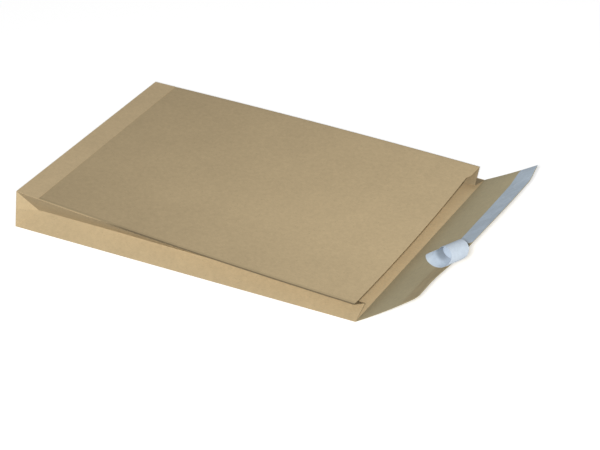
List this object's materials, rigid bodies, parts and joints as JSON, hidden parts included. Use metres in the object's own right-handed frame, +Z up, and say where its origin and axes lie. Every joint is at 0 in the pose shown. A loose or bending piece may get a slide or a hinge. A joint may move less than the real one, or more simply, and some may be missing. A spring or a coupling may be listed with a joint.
{
  "type": "gusseted paper envelope",
  "caption": "Open brown kraft paper envelope with folded side gussets, block bottom and a peel-and-seal flap, its release liner half peeled and curled.",
  "frame": {"origin": "middle of the address panel, on its resting face", "axes": "+X along the envelope towards the flap, +Y across it from the near long side to the far one, +Z up"},
  "size_m": [0.4257, 0.25, 0.063],
  "materials": {
    "kraft_paper": "uncoated brown kraft paper with fine fibres",
    "adhesive": "glossy see-through adhesive film on kraft paper",
    "liner_paper": "smooth siliconised white paper"
  },
  "bodies": {
    "root": {"kraft_envelope": "kraft_paper", "adhesive_strip": "adhesive", "release_liner": "liner_paper"}
  },
  "joints": []
}
